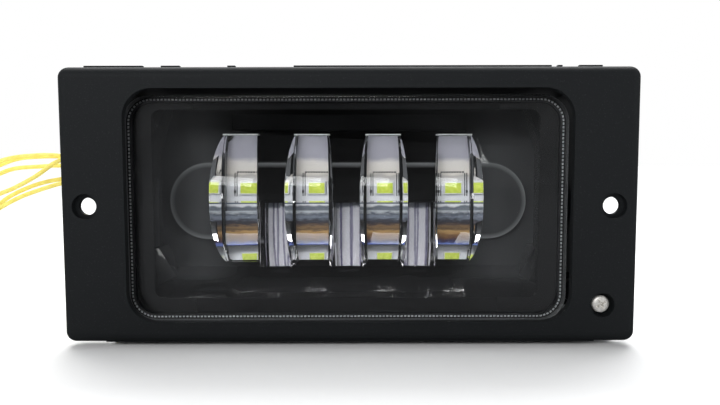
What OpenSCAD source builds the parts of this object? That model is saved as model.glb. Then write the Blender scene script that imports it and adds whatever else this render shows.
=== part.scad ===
// Rectangular LED fog light: a tilting lamp unit inside a front frame, with one aiming screw.
// X runs to the right, Y runs back into the lamp and Z up. The origin is under the middle of the face.

/* [Front frame] */
// Width of the face
face_w = 186.5; // [185:0.5:190]
// Height of the face
face_h = 89.2; // [89:0.1:92]
// Thickness of the face
face_t = 2.5; // [2:0.1:2.8]
// Radius of the face's corners and of its front edge
edge_r = 3.5; // [3:0.1:4]
// Depth of the lip round the face
lip_depth = 7; // [5:0.5:9]
// Depth of the sleeve behind the face
sleeve_depth = 40; // [38:1:44]

/* [Window] */
// Width of the window
window_w = 143.8; // [140:0.1:145]
// Height of the window
window_h = 75.2; // [72:0.1:76]
// Corner radius of the window
window_r = 9.5; // [6:0.5:12]

/* [Mounting holes] */
// Distance between the two mounting holes
hole_spacing = 169.5; // [168:0.5:170]
// Diameter of the mounting holes
hole_d = 5.6; // [4.5:0.1:6]
// Diameter of the counterbore
counterbore_d = 8.2; // [7:0.1:9]
// Depth of the counterbore
counterbore_depth = 2.1; // [1.5:0.1:2.4]

/* [Lamp unit] */
// Width of the front glass
glass_w = 146; // [140:0.5:147]
// Height of the front glass
glass_h = 75; // [70:0.5:76]
// Thickness of the front glass
glass_t = 3.2; // [2.5:0.1:3.3]
// Depth of the glass behind the face
glass_y = 5; // [5:0.1:5.4]
// Tilt each way from level, in degrees
tilt_range = 3; // [1:0.5:3]

/* [Lenses] */
// Distance between neighbouring tall lenses
lens_pitch = 25.3; // [24.5:0.1:26]
// Width of a tall lens at its front
lens_w = 16.2; // [14:0.1:16.5]
// Radius of the curved front of the tall lenses
lens_front_r = 25; // [24:0.5:27]
// Half the height of a tall lens
lens_half_h = 22.7; // [20:0.1:23.6]

/* [Leads] */
// Outer diameter of each lead
lead_d = 1.7; // [1.4:0.1:2]

/* [Hidden] */
$fn = 64;
fit = 0.05;
cut = 1;

// The frame stands on its sleeve, with the lower edge of the face a little above the surface
rest_gap = 1.6;
foot_front = 12;
mid_z = face_h / 2;
lip_wall = 2;
sleeve_in = 78;
sleeve_wall = 2;
window_x = -0.2;
window_z = mid_z;
hole_boss_d = 12;
hole_boss_t = 3.6;

// The lamp unit sits a little left of and below the middle of the window
unit_x = -1.2;
unit_z = mid_z - 1.4;
glass_r = 9;
glass_back = glass_y + glass_t;
sleeve_top = unit_z + glass_h / 2 + 2.4;
housing_front = glass_back + 0.4;
housing_wall = 2.2;
housing_step = 38.5;
housing_back = 52;
rear_w = 126;
rear_h = 58;
rear_r = 6;
seal_inset = 2.2;
seal_wide = 2.4;
seal_deep = 2;

// The tilt hinge and the aiming screw
pivot_y = 26;
pin_d = 5;
bush_d = 8;
pivot_boss_d = 13;
pivot_reach = 77.4;
screw_x = 81.8;
screw_z = 12.4;
screw_d = 3.5;
screw_pitch = 0.6;
screw_head_d = 5.6;
screw_head_y = 1.1;
screw_head_t = 1.6;
screw_end = 36;
recess_d = 7.8;
recess_floor = 3;
screw_boss_y = 6;
ear_x = 86.5;
guard_x = 87.8;
ear_t = 2.4;
ear_gap = 0.6;
nut_groove_d = 6;
nut_flange_d = 9.6;
nut_flange_t = 2.2;

// The lens array, its mask and the boards behind it
lens_x = -1.3;
lens_z = mid_z + 1.15;
lens_front = 10;
lens_back = 27;
lens_back_w = 11;
lens_side_flat = 1.2;
infill_front = 15;
infill_low = lens_z - 23.85;
infill_high = lens_z - 1;
infill_gap = 0.3;
mask_front = 9.6;
mask_panel = 29;
mask_panel_t = 1.2;
mask_wall = 1.2;
opening_w = 129;
opening_h = 63;
opening_r = 3;
opening_z = mid_z;
capsule_w = 129;
capsule_h = 27.4;
capsule_front = 27;
capsule_z = mid_z;
mask_back_w = 138;
mask_back_h = 68;
mask_inner_w = mask_back_w - 2 * mask_wall;
mask_left = unit_x - 0.1 - mask_inner_w / 2;
board_x = -0.5;
board_z = mid_z + 0.15;
board_front = 31.3;
board_t = 1.6;
board_w = 98;
board_h = 44;
led_pitch = 25;
led_w = 5.4;
led_h = 3.4;
led_t = 0.8;
led_high_z = lens_z + 2.25;
led_low_z = lens_z - 16.35;
pad_t = 0.5;
pad_front = board_front + board_t;
spreader_front = pad_front + pad_t;
spreader_t = 3;
spreader_leg = 3;
fin_count = 15;
fin_t = 1.6;
sink_w = 126;
sink_h = 58;
sink_base = 3.5;
sink_gasket_t = 1;
sink_front = housing_back + sink_gasket_t;
sink_back = 71;

// The vent, where the leads leave the unit, and their routes through the air to the surface
vent_x = 40;
vent_d = 5;
exit_y = 46;
exit_z = 53.1;
exit_x = unit_x - rear_w / 2;
LEAD_1 = [[-72.2, 45, 53.7], [-77, 45.4, 54.5], [-82, 46.3, 55.6], [-87, 46.1, 56], [-93, 46, 57],
    [-102, 46, 59.4], [-113, 46, 61.6], [-126, 46, 62], [-140, 46, 59.8], [-156, 46, 52.1],
    [-170, 46, 39.1], [-178, 45, 22.2], [-177, 44, 6.6], [-169, 43, 0], [-161, 42.2, 2.9],
    [-156, 41.6, 13.8], [-151, 41.6, 27.8], [-143, 42, 38], [-133, 42.6, 44.4], [-123, 43.3, 48.4],
    [-113, 44.5, 51.4], [-102, 45.6, 53.6], [-93, 46, 54.2], [-87, 46.1, 54.1], [-82, 44.6, 53.6],
    [-77, 42.4, 54.8], [-73, 41.4, 58.4], [-69.8, 44.5, 61.3], [-67.6, 50, 61.9], [-68.8, 54.8, 61.5],
    [-72.4, 57.4, 60.7], [-77, 55.8, 59.3], [-80.8, 52, 58.1], [-84, 49.1, 56.8], [-87, 48.2, 56.1],
    [-90, 48, 56.3], [-96, 48.8, 57.2], [-102, 50.2, 59.2], [-113, 50.8, 61.1], [-126, 51.6, 61.6],
    [-140, 52.2, 59.8], [-154, 52.5, 52], [-165, 52.5, 36], [-172, 52, 16.5], [-178, 51.5, 3.4],
    [-184, 51, -0.4], [-191, 50.5, -0.4]];
LEAD_2 = [[-72.2, 47, 52.5], [-77, 47.4, 52.9], [-82, 47.9, 53.4], [-87, 48.1, 54.1], [-93, 48.4, 54.5],
    [-102, 48.6, 56.6], [-113, 48.6, 57.8], [-126, 48.6, 57.5], [-140, 48.8, 55.6], [-155, 49, 46.5],
    [-166, 49, 31], [-171, 48.5, 14.3], [-168, 48, 3], [-160, 47.5, 0], [-154, 47, 6.4],
    [-151.5, 47, 19.2], [-148, 47, 34], [-141, 47.1, 43.2], [-129, 46.8, 49.4], [-117, 47.4, 52.4],
    [-102, 49.3, 53], [-93, 50, 53.4], [-87, 50.1, 54.1], [-82, 51.5, 53.1], [-76, 54, 50.5],
    [-70, 57, 48.5], [-66.6, 62.5, 47.7], [-68.6, 68.3, 48.3], [-74.6, 69.7, 49.9], [-79.2, 61.6, 52.6],
    [-80.4, 56, 54.4], [-82.2, 52.4, 55.5], [-85, 50.5, 55.9], [-88, 50.1, 56.2], [-91.5, 49.8, 57.5],
    [-95, 48.3, 59.9], [-101, 45.2, 62.1], [-108, 42.6, 62], [-116, 41.6, 59], [-123, 41, 54],
    [-131, 40.1, 49.4], [-141, 39.1, 44.6], [-149, 38.5, 36], [-155, 38, 21.4], [-159, 37.5, 6.6],
    [-165, 37, 0.8], [-173, 36.5, -0.4], [-181, 36, -0.5]];
LEAD_RINGS = 2;
LEAD_SIDES = 8;
end_len = 8;
tie_x = -87;
tie_y = 48.1;
tie_z = 55.05;
tie_w = 3.2;

// Depths are counted from the face and heights from its lower edge. This puts the middle of the
// depth at the origin, and the underside of the sleeve on the surface.
module from_face() {
    translate([0, -sink_back / 2, rest_gap]) children();
}

// Helpers: rounded plates that stand across Y, rods, and tubes swept along a route
module rounded(w, h, r) {
    square([w - 2 * r, h], center = true);
    square([w, h - 2 * r], center = true);
    for (x = [-1, 1], z = [-1, 1])
        translate([x * (w / 2 - r), z * (h / 2 - r)]) circle(r);
}

module plate(w, h, r, from, to, x = 0, z = 0) {
    translate([x, to, z]) rotate([90, 0, 0]) linear_extrude(to - from) rounded(w, h, r);
}

module ring(w, h, r, wall, from, to, x = 0, z = 0) {
    difference() {
        plate(w, h, r, from, to, x, z);
        plate(w - 2 * wall, h - 2 * wall, max(r - wall, 0.5), from - cut, to + cut, x, z);
    }
}

module rod_y(d, from, to, x, z) {
    translate([x, to, z]) rotate([90, 0, 0]) cylinder(d = d, h = to - from);
}

module rod_x(d, from, to, y, z) {
    translate([from, y, z]) rotate([0, 90, 0]) cylinder(d = d, h = to - from);
}

module block(x0, x1, y0, y1, z0, z1) {
    translate([x0, y0, z0]) cube([x1 - x0, y1 - y0, z1 - z0]);
}

// A spread of points through a route, as a smooth curve
function spline(a, b, c, d, t) = 0.5 * ((2 * b) + (c - a) * t + (2 * a - 5 * b + 4 * c - d) * t * t
    + (3 * b - a - 3 * c + d) * t * t * t);
function at(p, i) = p[max(0, min(len(p) - 1, i))];
function smooth(p, n) = concat([for (i = [0 : len(p) - 2], k = [0 : n - 1])
    spline(at(p, i - 1), at(p, i), at(p, i + 1), at(p, i + 2), k / n)], [p[len(p) - 1]]);
function unit(v) = v / norm(v);
function heading(p, i) = unit(at(p, i + 1) - at(p, i - 1));
function carry(u, t) = unit(u - (u * t) * t);
function sides(p, i, u) = i == len(p) ? []
    : let (v = carry(u, heading(p, i))) concat([v], sides(p, i + 1, v));

module tube(p, d, n) {
    u = sides(p, 0, [0, 0, 1]);
    last = len(p) - 1;
    points = [for (i = [0 : last], k = [0 : n - 1])
        let (v = cross(heading(p, i), u[i]), a = 360 * k / n)
        p[i] + d / 2 * (cos(a) * u[i] + sin(a) * v)];
    skin = [for (i = [0 : last - 1], k = [0 : n - 1])
        [i * n + k, i * n + (k + 1) % n, (i + 1) * n + (k + 1) % n, (i + 1) * n + k]];
    first_cap = [for (k = [n - 1 : -1 : 0]) k];
    last_cap = [for (k = [0 : n - 1]) last * n + k];
    polyhedron(points, concat(skin, [first_cap, last_cap]));
}

// The face: a plate whose front edge and corners are rounded
module face_blank() {
    half_w = face_w / 2 - edge_r;
    half_h = face_h / 2 - edge_r;
    plate(face_w, face_h, edge_r, edge_r, lip_depth, 0, mid_z);
    block(-half_w, half_w, 0, lip_depth, mid_z - half_h, mid_z + half_h);
    for (side = [-1, 1]) {
        translate([side * half_w, edge_r, mid_z - half_h]) cylinder(r = edge_r, h = 2 * half_h);
        rod_x(2 * edge_r, -half_w, half_w, edge_r, mid_z + side * half_h);
        for (up = [-1, 1])
            translate([side * half_w, edge_r, mid_z + up * half_h]) sphere(edge_r);
    }
}

module hole_boss(x) {
    rod_y(hole_boss_d, face_t - 0.5, hole_boss_t, x, mid_z);
}

module front_frame() color([0.09, 0.095, 0.1]) from_face() {
    difference() {
        union() {
            difference() {
                face_blank();
                plate(face_w - 2 * lip_wall, face_h - 2 * lip_wall, edge_r - lip_wall, face_t,
                    lip_depth + cut, 0, mid_z);
            }
            sleeve();
            screw_guard();
            for (side = [-1, 1]) {
                hole_boss(side * hole_spacing / 2);
                rod_x(pivot_boss_d, side > 0 ? sleeve_in + 0.5 : -sleeve_in - sleeve_wall - 2,
                    side > 0 ? sleeve_in + sleeve_wall + 2 : -sleeve_in - 0.5, pivot_y, unit_z);
            }
            rod_y(recess_d + 3.4, face_t - 0.5, screw_boss_y, screw_x, screw_z);
            locating_ribs();
        }
        plate(window_w, window_h, window_r, -cut, face_t + cut, window_x, window_z);
        for (side = [-1, 1]) {
            rod_y(hole_d, -cut, hole_boss_t + cut, side * hole_spacing / 2, mid_z);
            rod_y(counterbore_d, -cut, counterbore_depth, side * hole_spacing / 2, mid_z);
            rod_x(pin_d, side > 0 ? sleeve_in - cut : -sleeve_in - sleeve_wall - 2 - cut,
                side > 0 ? sleeve_in + sleeve_wall + 2 + cut : -sleeve_in + cut, pivot_y, unit_z);
        }
        rod_y(recess_d, -cut, recess_floor, screw_x, screw_z);
        rod_y(screw_d + 2 * fit, -cut, screw_boss_y + cut, screw_x, screw_z);
        // Clearance in the sleeve for the aiming screw and the ear of the lamp unit
        block(sleeve_in - cut, sleeve_in + sleeve_wall + cut, screw_boss_y, sleeve_depth + cut,
            screw_z - 7.3, screw_z + 6.9);
    }
}

module sleeve() {
    difference() {
        union() {
            block(-sleeve_in - sleeve_wall, sleeve_in + sleeve_wall, face_t - 0.5, sleeve_depth,
                0, sleeve_top + sleeve_wall);
            block(-sleeve_in - sleeve_wall, sleeve_in + sleeve_wall, foot_front, sleeve_depth,
                -rest_gap, 1);
        }
        block(-sleeve_in, sleeve_in, face_t - cut, sleeve_depth + cut, sleeve_wall, sleeve_top);
    }
}

// A wall beside the aiming screw, which also closes the view through the sleeve's gap
module screw_guard() {
    block(guard_x, guard_x + sleeve_wall, face_t - 0.5, screw_end, screw_z - 9, screw_z + 11);
    for (z = [screw_z - 9, screw_z + 11 - sleeve_wall])
        block(sleeve_in + sleeve_wall - 0.5, guard_x + 0.5, face_t - 0.5, screw_end, z, z + sleeve_wall);
}

// Low ribs on the upper side that locate the frame in the bumper
module locating_ribs() {
    for (span = [[-86, -67], [-61, -55], [-39.5, -37], [-18, 65.5], [67.5, 69], [74.5, 82]])
        block(span[0], span[1], 5, lip_depth - 0.5, face_h - 0.5, face_h + 0.8);
}

module pivot_pins() color([0.75, 0.75, 0.74]) from_face() {
    slot_x = sleeve_in + sleeve_wall + 3.4;
    for (side = [-1, 1])
        difference() {
            union() {
                rod_x(pin_d, side > 0 ? 72.6 : -sleeve_in - sleeve_wall - 2.2,
                    side > 0 ? sleeve_in + sleeve_wall + 2.2 : -72.6, pivot_y, unit_z);
                rod_x(8.4, side > 0 ? sleeve_in + sleeve_wall + 2 : -sleeve_in - sleeve_wall - 3.6,
                    side > 0 ? sleeve_in + sleeve_wall + 3.6 : -sleeve_in - sleeve_wall - 2,
                    pivot_y, unit_z);
            }
            block(side * slot_x - 0.6, side * slot_x + 0.6, pivot_y - 5, pivot_y + 5,
                unit_z - 0.6, unit_z + 0.6);
        }
}

// Outer faces of the housing's sides, where the pivots are
housing_left = unit_x - glass_w / 2;
housing_right = unit_x + glass_w / 2;

module unit_housing() color([0.12, 0.12, 0.13]) from_face() {
    difference() {
        union() {
            housing_shell();
            sink_holes(9, housing_step - housing_wall, housing_back);
        }
        sink_holes(3, housing_step, housing_back + cut);
    }
}

module housing_shell() {
    difference() {
        union() {
            plate(glass_w, glass_h, glass_r, housing_front, housing_step, unit_x, unit_z);
            plate(rear_w, rear_h, rear_r, housing_step - 1, housing_back, unit_x, unit_z);
            rod_x(pivot_boss_d, -pivot_reach, housing_left + 1, pivot_y, unit_z);
            rod_x(pivot_boss_d, housing_right - 1, pivot_reach, pivot_y, unit_z);
            ear();
            rod_x(10, exit_x - 2, exit_x + 1, exit_y, exit_z);
        }
        plate(glass_w - 2 * housing_wall, glass_h - 2 * housing_wall, glass_r - housing_wall,
            housing_front - cut, housing_step - housing_wall, unit_x, unit_z);
        plate(rear_w - 2 * housing_wall, rear_h - 2 * housing_wall, rear_r - housing_wall,
            housing_step - housing_wall - cut, housing_back + cut, unit_x, unit_z);
        rod_x(bush_d, -pivot_reach - cut, housing_left + housing_wall + cut, pivot_y, unit_z);
        rod_x(bush_d, housing_right - housing_wall - cut, pivot_reach + cut, pivot_y, unit_z);
        rod_x(6, exit_x - 2 - cut, exit_x + housing_wall + cut, exit_y, exit_z);
        vent_hole();
    }
}

module vent_hole() {
    translate([vent_x, exit_y, unit_z + rear_h / 2 - housing_wall - cut])
        cylinder(d = vent_d, h = housing_wall + 2 * cut);
}

module ear() {
    difference() {
        block(housing_right - 1, ear_x, pivot_y - ear_t / 2, pivot_y + ear_t / 2,
            screw_z - 5.9, screw_z + 6.3);
        block(screw_x, ear_x + cut, pivot_y - cut - ear_t, pivot_y + ear_t + cut,
            screw_z - nut_groove_d / 2 - 0.3, screw_z + nut_groove_d / 2 + 0.3);
        rod_y(nut_groove_d + 0.6, pivot_y - ear_t, pivot_y + ear_t, screw_x, screw_z);
    }
    block(housing_right - 1, 76.6, pivot_y - 5, pivot_y + 5, screw_z - 5.3, screw_z - 3.3);
}

module pivot_bushes() color([0.85, 0.83, 0.76]) from_face() {
    difference() {
        union() {
            rod_x(bush_d, -pivot_reach, -74.2 + housing_wall, pivot_y, unit_z);
            rod_x(bush_d, 71.8 - housing_wall, pivot_reach, pivot_y, unit_z);
        }
        rod_x(pin_d + 2 * fit, -pivot_reach - cut, pivot_reach + cut, pivot_y, unit_z);
    }
}

module front_glass() color([0.8, 0.86, 0.9, 0.3]) from_face() {
    plate(glass_w, glass_h, glass_r, glass_y + 0.8, glass_back, unit_x, unit_z);
    plate(glass_w - 1.6, glass_h - 1.6, glass_r - 0.8, glass_y, glass_y + 0.9, unit_x, unit_z);
}

module glass_seal() color([0.16, 0.16, 0.17]) from_face() {
    ring(glass_w - 0.6, glass_h - 0.6, glass_r - 0.3, housing_wall - 0.6, glass_back, housing_front,
        unit_x, unit_z);
}

module inner_mask() color([0.05, 0.05, 0.055]) from_face() {
    difference() {
        union() {
            plate(glass_w - 2 * housing_wall - 0.4, glass_h - 2 * housing_wall - 0.4,
                glass_r - housing_wall, mask_front, mask_front + mask_wall, unit_x, unit_z);
            plate(mask_back_w, mask_back_h, 5, mask_front + 0.5, mask_panel + mask_panel_t,
                unit_x - 0.1, unit_z + 0.8);
        }
        plate(opening_w, opening_h, opening_r, mask_front - cut, mask_front + mask_wall + cut,
            unit_x - 0.2, opening_z);
        plate(mask_inner_w, mask_back_h - 2 * mask_wall, 4, mask_front + mask_wall, mask_panel,
            unit_x - 0.1, unit_z + 0.8);
        lens_windows(mask_panel - cut, mask_panel + mask_panel_t + cut);
        block(-43.5, 41.5, mask_panel - cut, mask_panel + mask_panel_t + cut, mid_z + 25, mid_z + 31);
    }
    difference() {
        capsule(capsule_w, capsule_h, capsule_front, mask_panel + 0.3);
        lens_windows(capsule_front - cut, mask_panel + mask_panel_t + cut);
    }
    intersection() {
        plate(mask_back_w - 1, mask_back_h - 1, 4.5, mask_front + 0.6, mask_panel + 0.6,
            unit_x - 0.1, unit_z + 0.8);
        union() {
            mask_floor();
            for (side = [-1, 1]) {
                mask_corner(side, [[0, 10], [0, 29], [2.6, 29], [10, 10]]);
                mask_corner(side, [[0, 61], [0, 77.8], [5, 77.8]]);
            }
        }
    }
}

// The floor of the mask, which slopes up towards the panel under the lenses
module mask_floor() {
    toe = opening_z - opening_h / 2;
    translate([mask_left - 0.5, 0, 0]) rotate([90, 0, 90]) linear_extrude(mask_inner_w + 1)
        polygon([[mask_front + 0.7, toe - 2], [mask_front + 0.7, toe], [mask_panel + 0.5, toe + 7.9],
            [mask_panel + 0.5, toe - 2]]);
}

// A facet across a corner between the mask's side wall and its panel. The outline is seen from the front.
module mask_corner(side, outline) {
    translate([side < 0 ? mask_left : mask_left + mask_inner_w, 0, 0]) mirror([side > 0 ? 1 : 0, 0, 0])
        intersection() {
            translate([-0.4, mask_panel + 0.5, 0]) rotate([90, 0, 0]) linear_extrude(18) polygon(outline);
            translate([-0.4, mask_panel + 0.5, 0]) linear_extrude(90) polygon([[0, 0], [0, -15], [12, 0]]);
        }
}

module capsule(w, h, from, to) {
    plate(w, h, h / 2 - 0.01, from, to, unit_x - 0.15, capsule_z);
}

module lens_windows(from, to) {
    for (k = [0 : 3])
        block(lens_column(k) - 5, lens_column(k) + 5, from, to, lens_z - 18.5, lens_z + 18.5);
    for (k = [0 : 2])
        block(infill_column(k) - 3.6, infill_column(k) + 3.6, from, to, lens_z - 22.5, lens_z - 1.6);
}

function lens_column(k) = lens_x + (k - 1.5) * lens_pitch;
function infill_column(k) = lens_x + (k - 1) * lens_pitch;

// A slice of a round bar, flat at the back, whose sides close in towards the back
module lens_block(k) color([0.86, 0.9, 0.94, 0.5]) from_face() {
    translate([lens_column(k), 0, lens_z])
        intersection() {
            translate([0, lens_front + lens_front_r, 0]) rotate([0, 90, 0])
                cylinder(r = lens_front_r, h = lens_w, center = true);
            block(-lens_w, lens_w, lens_front - cut, lens_back, -lens_half_h, lens_half_h);
            translate([0, 0, -lens_half_h - cut]) linear_extrude(2 * lens_half_h + 2 * cut)
                polygon([[-lens_w / 2, lens_front - cut], [lens_w / 2, lens_front - cut],
                    [lens_w / 2, lens_front + lens_side_flat], [lens_back_w / 2, lens_back],
                    [-lens_back_w / 2, lens_back], [-lens_w / 2, lens_front + lens_side_flat]]);
        }
}

// A shorter lens that fills the gap between the lower halves of two tall lenses
module infill_lens(k) color([0.82, 0.82, 0.88, 0.6]) from_face() {
    gap = lens_pitch - lens_w;
    wide = lens_pitch - lens_back_w - 2 * infill_gap;
    taper = (lens_w - lens_back_w) / 2 / (lens_back - lens_front - lens_side_flat);
    narrow = gap - 2 * infill_gap + 2 * taper * (infill_front - lens_front - lens_side_flat);
    translate([infill_column(k), 0, 0])
        intersection() {
            translate([0, 0, infill_low]) linear_extrude(infill_high - infill_low)
                polygon([[-narrow / 2, infill_front], [narrow / 2, infill_front],
                    [wide / 2, lens_back], [-wide / 2, lens_back]]);
            translate([0, infill_front + 30, lens_z - 7]) rotate([0, 90, 0])
                cylinder(r = 30, h = 40, center = true);
        }
}

module lens_block_1() { lens_block(0); }
module lens_block_2() { lens_block(1); }
module lens_block_3() { lens_block(2); }
module lens_block_4() { lens_block(3); }
module infill_lens_1() { infill_lens(0); }
module infill_lens_2() { infill_lens(1); }
module infill_lens_3() { infill_lens(2); }

module streak_reflectors() color([0.72, 0.52, 0.25]) from_face() {
    for (k = [0 : 3])
        block(lens_column(k) - 5, lens_column(k) + 5, 28.2, 29, lens_z - 13, lens_z - 3.5);
}

function led_column(k) = board_x + (k - 1.5) * led_pitch;

module led_board() color([0.93, 0.94, 0.95]) from_face() {
    difference() {
        plate(board_w, board_h, 2, board_front, board_front + board_t, board_x, board_z);
        for (x = [-45, 45], z = [-18, 18])
            rod_y(3.2, board_front - cut, board_front + board_t + cut, board_x + x, board_z + z);
    }
}

module leds(z) color([0.83, 0.88, 0.2]) from_face() {
    for (k = [0 : 3])
        block(led_column(k) - led_w / 2, led_column(k) + led_w / 2, board_front - led_t, board_front,
            z - led_h / 2, z + led_h / 2);
}

module upper_leds() { leds(led_high_z); }
module lower_leds() { leds(led_low_z); }

module board_screws() color([0.78, 0.78, 0.76]) from_face() {
    for (x = [-45, 45], z = [-18, 18]) {
        rod_y(3, board_front - 0.1, spreader_front + spreader_t - 0.2, board_x + x, board_z + z);
        rod_y(5, board_front - 0.9, board_front, board_x + x, board_z + z);
    }
}

module thermal_pad() color([0.6, 0.62, 0.66]) from_face() {
    difference() {
        plate(board_w - 2, board_h - 2, 1.5, pad_front, spreader_front, board_x, board_z);
        for (x = [-45, 45], z = [-18, 18])
            rod_y(5, pad_front - cut, spreader_front + cut, board_x + x, board_z + z);
    }
}

module heat_spreader() color([0.72, 0.73, 0.75]) from_face() {
    difference() {
        union() {
            block(-49.5, 48.5, spreader_front, spreader_front + spreader_t,
                board_z - 21.5, board_z + 21.5);
            for (z = [board_z - 21.5, board_z + 21.5 - spreader_leg])
                block(-49.5, 48.5, spreader_front + 1, sink_front, z, z + spreader_leg);
        }
        for (x = [-45, 45], z = [-18, 18])
            rod_y(3, spreader_front - cut, spreader_front + spreader_t + cut, board_x + x, board_z + z);
        for (x = [-36, 36], z = [-20, 20])
            rod_y(1.8, sink_front - 8, sink_front + cut, board_x + x, board_z + z);
    }
}

module spreader_screws() color([0.7, 0.7, 0.68]) from_face() {
    for (x = [-36, 36], z = [-20, 20]) {
        rod_y(1.8, sink_front - 8, sink_front + sink_base, board_x + x, board_z + z);
        rod_y(3.4, sink_front + sink_base, sink_front + sink_base + 1, board_x + x, board_z + z);
    }
}

module driver_board() color([0.1, 0.35, 0.2]) from_face() {
    plate(74, 37, 1, 44.4, 46, -3, board_z);
}

module driver_choke() color([0.2, 0.2, 0.21]) from_face() {
    rod_y(9, 39.6, 44.4, -24, board_z);
}

module driver_capacitors() color([0.62, 0.63, 0.66]) from_face() {
    for (x = [-8, 2])
        rod_y(6.3, 38.6, 44.4, x, board_z + 2);
}

module driver_chip() color([0.08, 0.08, 0.08]) from_face() {
    block(12, 18, 42.9, 44.4, board_z - 4, board_z + 1);
}

module inner_wires() color([0.8, 0.1, 0.08]) from_face() {
    for (up = [-1.5, 1.5])
        tube(smooth([[exit_x + 2.3, exit_y, exit_z + up * 0.6], [-58, 46.5, exit_z + up],
            [-50.5, 47.5, exit_z + up], [-37.5, 46.72, exit_z + up - 1]], 4), 1.4, 8);
}

module sink_holes(d, from, to) {
    for (x = [-56.5, 56.5], z = [-22.5, 22.5])
        rod_y(d, from, to, unit_x + x, unit_z + z);
}

module heat_sink() color([0.66, 0.67, 0.69]) from_face() {
    fin_span = sink_w - 24;
    pitch = (fin_span - fin_t) / (fin_count - 1);
    difference() {
        union() {
            plate(sink_w, sink_h, rear_r, sink_front, sink_front + sink_base, unit_x, unit_z);
            for (k = [0 : fin_count - 1])
                block(unit_x - fin_span / 2 + k * pitch, unit_x - fin_span / 2 + k * pitch + fin_t,
                    sink_front + sink_base - 0.5, sink_back,
                    unit_z - sink_h / 2 + 1, unit_z + sink_h / 2 - 1);
        }
        sink_holes(3.2, sink_front - cut, sink_back + cut);
        for (x = [-36, 36], z = [-20, 20]) {
            rod_y(1.8, sink_front - cut, sink_front + sink_base + cut, board_x + x, board_z + z);
            rod_y(5, sink_front + sink_base, sink_back + cut, board_x + x, board_z + z);
        }
        sink_holes(6.4, sink_front + sink_base, sink_back + cut);
    }
}

module heat_sink_gasket() color([0.14, 0.14, 0.15]) from_face() {
    ring(sink_w, sink_h, rear_r, housing_wall, housing_back, sink_front, unit_x, unit_z);
}

module heat_sink_screws() color([0.74, 0.74, 0.72]) from_face() {
    sink_holes(3, sink_front - 7, sink_front + sink_base + 0.2);
    difference() {
        sink_holes(5.6, sink_front + sink_base, sink_front + sink_base + 2);
        for (x = [-56.5, 56.5], z = [-22.5, 22.5], turn = [0, 90])
            translate([unit_x + x, sink_front + sink_base + 1.5, unit_z + z]) rotate([0, turn, 0])
                cube([3.2, 1.4, 0.8], center = true);
    }
}

module lead_grommet() color([0.08, 0.08, 0.085]) from_face() {
    difference() {
        union() {
            rod_x(6, exit_x - 2.1, exit_x + housing_wall, exit_y, exit_z);
            rod_x(9, exit_x - 4, exit_x - 2, exit_y, exit_z);
            translate([exit_x - 4, exit_y, exit_z]) rotate([0, -90, 0]) cylinder(d1 = 7, d2 = 5, h = 4);
        }
    }
}

module breather_vent() color([0.1, 0.1, 0.1]) from_face() {
    translate([vent_x, exit_y, unit_z + rear_h / 2 - housing_wall]) {
        cylinder(d = vent_d, h = housing_wall + 0.1);
        translate([0, 0, housing_wall]) cylinder(d = 8, h = 2.4);
    }
}

module adjusting_screw() color([0.82, 0.81, 0.78]) from_face() {
    difference() {
        union() {
            rod_y(screw_d, screw_head_y + 0.5, screw_end, screw_x, screw_z);
            rod_y(screw_head_d, screw_head_y, screw_head_y + screw_head_t, screw_x, screw_z);
        }
        for (turn = [30, 120])
            translate([screw_x, screw_head_y + 0.3, screw_z]) rotate([0, turn, 0])
                cube([3.6, 1.2, 0.85], center = true);
    }
}

module screw_retainer() color([0.7, 0.7, 0.7]) from_face() {
    difference() {
        rod_y(7.5, screw_boss_y + 0.3, screw_boss_y + 1.1, screw_x, screw_z);
        rod_y(screw_d, screw_boss_y, screw_boss_y + 2, screw_x, screw_z);
    }
}

module adjuster_nut() color([0.1, 0.1, 0.1]) from_face() {
    groove = ear_t / 2 + ear_gap;
    difference() {
        union() {
            rod_y(nut_groove_d, pivot_y - groove - 0.5, pivot_y + groove + 0.5, screw_x, screw_z);
            rod_y(nut_flange_d, pivot_y - groove - nut_flange_t, pivot_y - groove, screw_x, screw_z);
            rod_y(nut_flange_d, pivot_y + groove, pivot_y + groove + nut_flange_t, screw_x, screw_z);
        }
        rod_y(screw_d + 2 * fit, pivot_y - 9, pivot_y + 9, screw_x, screw_z);
    }
}

module lead(route) color([0.93, 0.83, 0.15]) from_face() {
    tube(smooth(route, LEAD_RINGS), lead_d, LEAD_SIDES);
}

module lead_1() { lead(LEAD_1); }
module lead_2() { lead(LEAD_2); }

// Bare tinned ends
module lead_ends() color([0.75, 0.75, 0.73]) from_face() {
    for (route = [LEAD_1, LEAD_2]) {
        tip = route[len(route) - 1];
        away = unit(tip - route[len(route) - 2]);
        tube([tip, tip + away * end_len / 2, tip + away * end_len], 1, LEAD_SIDES);
    }
}

// A strap drawn tight round the six strands, with its lock on top
module cable_tie() color([0.1, 0.1, 0.1]) from_face() {
    translate([tie_x - tie_w / 2, tie_y, tie_z]) rotate([90, 0, 90]) {
        linear_extrude(tie_w) difference() {
            rounded(8.8, 6.8, 1.8);
            rounded(6.8, 4.8, 1.1);
        }
        translate([0, 4.6, tie_w / 2]) cube([5, 3, tie_w + 1], center = true);
    }
}

front_frame();
pivot_pins();
unit_housing();
pivot_bushes();
front_glass();
glass_seal();
inner_mask();
lens_block_1();
lens_block_2();
lens_block_3();
lens_block_4();
infill_lens_1();
infill_lens_2();
infill_lens_3();
streak_reflectors();
led_board();
upper_leds();
lower_leds();
board_screws();
thermal_pad();
heat_spreader();
spreader_screws();
driver_board();
driver_choke();
driver_capacitors();
driver_chip();
inner_wires();
heat_sink();
heat_sink_gasket();
heat_sink_screws();
lead_grommet();
breather_vent();
adjusting_screw();
screw_retainer();
adjuster_nut();
lead_1();
lead_2();
lead_ends();
cable_tie();
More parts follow.
